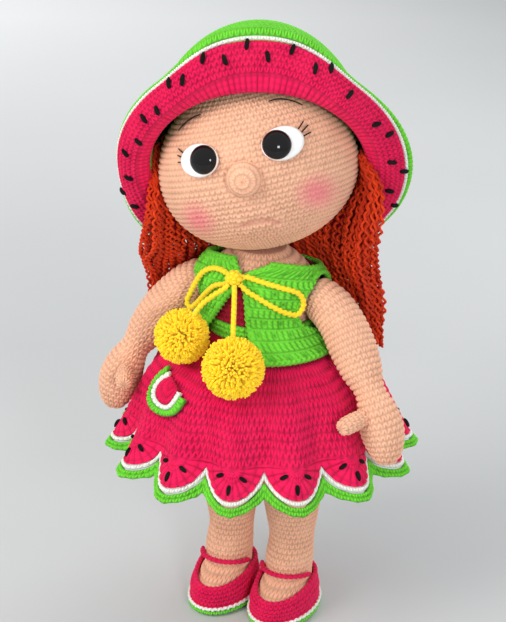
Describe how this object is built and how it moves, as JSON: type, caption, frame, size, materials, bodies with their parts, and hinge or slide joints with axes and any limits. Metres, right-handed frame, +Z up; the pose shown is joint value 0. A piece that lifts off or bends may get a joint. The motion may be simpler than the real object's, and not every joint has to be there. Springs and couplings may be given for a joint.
{
  "type": "amigurumi doll",
  "caption": "Crocheted doll with turning head, swinging arms, lift-off sun hat, bolero tied with a pompom cord, flared scalloped dress and strap shoes.",
  "frame": {"origin": "on the floor, under the middle of the doll's outline", "axes": "+Z up along the height, the doll faces -Y, its left hand is at +X"},
  "size_m": [0.1796, 0.175, 0.3343],
  "materials": {
    "skin_yarn": "tightly crocheted cotton",
    "stuffing": "loose polyester filling",
    "pink_yarn": "crocheted cotton",
    "crimson_yarn": "crocheted cotton",
    "green_yarn": "crocheted cotton",
    "white_yarn": "crocheted cotton",
    "yellow_yarn": "corded and tufted cotton",
    "hair_yarn": "crimped acrylic strands",
    "white_felt": "pressed felt",
    "eye_plastic": "glossy",
    "washer_plastic": "moulded",
    "rod_wood": "bare dowel"
  },
  "bodies": {
    "torso": {"torso_skin": "skin_yarn", "torso_stuffing": "stuffing", "neck_rod": "rod_wood", "leg_left_skin": "skin_yarn", "leg_left_stuffing": "stuffing", "leg_right_skin": "skin_yarn", "leg_right_stuffing": "stuffing", "bodice": "crimson_yarn", "waistband": "green_yarn", "skirt": "pink_yarn", "hem_rind": "white_yarn", "hem_edge": "green_yarn", "pocket": "pink_yarn", "vest": "green_yarn", "bow_knot": "yellow_yarn", "bow_loop_left": "yellow_yarn", "bow_loop_right": "yellow_yarn", "shoe_sole_left": "green_yarn", "shoe_sole_right": "green_yarn", "shoe_upper_left": "pink_yarn", "shoe_upper_right": "pink_yarn", "shoe_strap_left": "pink_yarn", "shoe_strap_right": "pink_yarn", "hair_back": "hair_yarn", "hair_left_end": "hair_yarn", "hair_right_end": "hair_yarn"},
    "head": {"head_skin": "skin_yarn", "head_stuffing": "stuffing", "eye_left": "eye_plastic", "eye_right": "eye_plastic", "eye_white_left": "white_felt", "eye_white_right": "white_felt", "eye_washer_left": "washer_plastic", "eye_washer_right": "washer_plastic", "nose": "skin_yarn", "hair_left_top": "hair_yarn", "hair_right_top": "hair_yarn"},
    "hat": {"hat_crown": "green_yarn", "hat_brim": "pink_yarn", "hat_rind": "white_yarn", "hat_edge": "green_yarn"},
    "arm_left": {"arm_left_skin": "skin_yarn", "arm_left_stuffing": "stuffing", "thumb_left": "skin_yarn"},
    "arm_right": {"arm_right_skin": "skin_yarn", "arm_right_stuffing": "stuffing", "thumb_right": "skin_yarn"},
    "tail_left": {"cord_tail_left": "yellow_yarn", "pompom_left": "yellow_yarn"},
    "tail_right": {"cord_tail_right": "yellow_yarn", "pompom_right": "yellow_yarn"}
  },
  "joints": [
    {"name": "head_turn", "type": "hinge", "parent": "torso", "child": "head", "pos_m": [0, 0, 0.215], "axis": [0, 0, 1], "range_deg": [-12, 12]},
    {"name": "hat_lift", "type": "slide", "parent": "head", "child": "hat", "axis": [-0.3656, 0.8211, 0.4384], "range_m": [0, 0.06]},
    {"name": "arm_left_swing", "type": "hinge", "parent": "torso", "child": "arm_left", "pos_m": [0.0287, -0.001, 0.19], "axis": [-1, 0, 0], "range_deg": [-4, 55]},
    {"name": "arm_right_swing", "type": "hinge", "parent": "torso", "child": "arm_right", "pos_m": [-0.0287, -0.001, 0.19], "axis": [-1, 0, 0], "range_deg": [-4, 55]},
    {"name": "tail_left_swing", "type": "hinge", "parent": "torso", "child": "tail_left", "pos_m": [-0.0023, -0.0302, 0.2059], "axis": [-1, 0, 0], "range_deg": [0, 70]},
    {"name": "tail_right_swing", "type": "hinge", "parent": "torso", "child": "tail_right", "pos_m": [-0.0023, -0.0302, 0.2059], "axis": [-1, 0, 0], "range_deg": [0, 70]}
  ]
}
